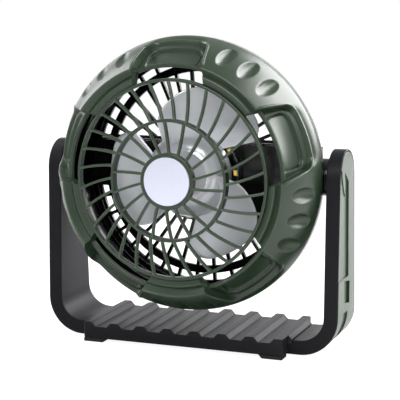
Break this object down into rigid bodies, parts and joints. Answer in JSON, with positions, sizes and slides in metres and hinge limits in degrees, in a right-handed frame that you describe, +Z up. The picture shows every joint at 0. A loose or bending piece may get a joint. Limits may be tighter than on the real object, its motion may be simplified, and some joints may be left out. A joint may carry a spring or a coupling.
{
  "type": "portable fan with work light",
  "caption": "Tilting portable fan in a U-shaped stand with a ribbed base, a guard of swirled spokes, a light ring round the motor and two push buttons.",
  "frame": {"origin": "on the ground under the middle of the fan's bounding box, stood upright with the head facing straight ahead", "axes": "+Z up, the fan blows towards -Y, +X to the viewer's right; the tilt axis runs along X at y 13 mm, z 129 mm"},
  "size_m": [0.23, 0.1024, 0.2305],
  "materials": {
    "black_abs": "satin moulded",
    "green_abs": "satin moulded, olive green",
    "rubber": "matt",
    "screw_steel": "zinc plated",
    "washer_nylon": "natural nylon",
    "badge_metal": "satin, pale",
    "glossy_black": "glossy black",
    "motor_steel": "plain",
    "bush_brass": "turned",
    "silver_plastic": "silver grey, satin gloss",
    "board_black": "dark solder mask",
    "light_chip": "amber phosphor under clear resin",
    "lens_clear": "clear moulded plastic",
    "cell_sleeve": "heat-shrink sleeve",
    "board_green": "green solder mask",
    "switch_black": "moulded",
    "button_black": "satin"
  },
  "bodies": {
    "stand": {"stand_frame": "black_abs", "base_tread": "black_abs", "rubber_feet": "rubber", "base_screws": "screw_steel", "side_panel_left": "green_abs", "side_panel_right": "green_abs"},
    "head": {"friction_washers": "washer_nylon", "pivot_bolts": "screw_steel", "front_bezel": "green_abs", "front_grille": "green_abs", "badge_disc": "badge_metal", "bezel_screws": "screw_steel", "rear_shell": "glossy_black", "rear_grille": "glossy_black", "rear_grille_screws": "screw_steel", "core_housing": "glossy_black", "core_cover": "glossy_black", "core_cover_screws": "screw_steel", "motor_can": "motor_steel", "motor_bush": "bush_brass", "motor_screws": "screw_steel", "light_board": "board_black", "light_chips": "light_chip", "light_lens": "lens_clear", "battery_cells": "cell_sleeve", "control_board": "board_green", "touch_switches": "switch_black", "usb_socket": "motor_steel"},
    "rotor": {"motor_shaft": "motor_steel", "impeller": "silver_plastic"},
    "fan_button": {"fan_button": "button_black"},
    "light_button": {"light_button": "button_black"}
  },
  "joints": [
    {"name": "tilt", "type": "hinge", "parent": "stand", "child": "head", "pos_m": [0, 0.013, 0.129], "axis": [1, 0, 0], "range_deg": [-180, 180]},
    {"name": "spin", "type": "hinge", "parent": "head", "child": "rotor", "pos_m": [0, 0.013, 0.129], "axis": [0, -1, 0], "continuous": true},
    {"name": "fan_button_press", "type": "slide", "parent": "head", "child": "fan_button", "axis": [0, -1, 0], "range_m": [0, 0.001], "stiffness_N_per_m": 900},
    {"name": "light_button_press", "type": "slide", "parent": "head", "child": "light_button", "axis": [0, -1, 0], "range_m": [0, 0.001], "stiffness_N_per_m": 900}
  ]
}
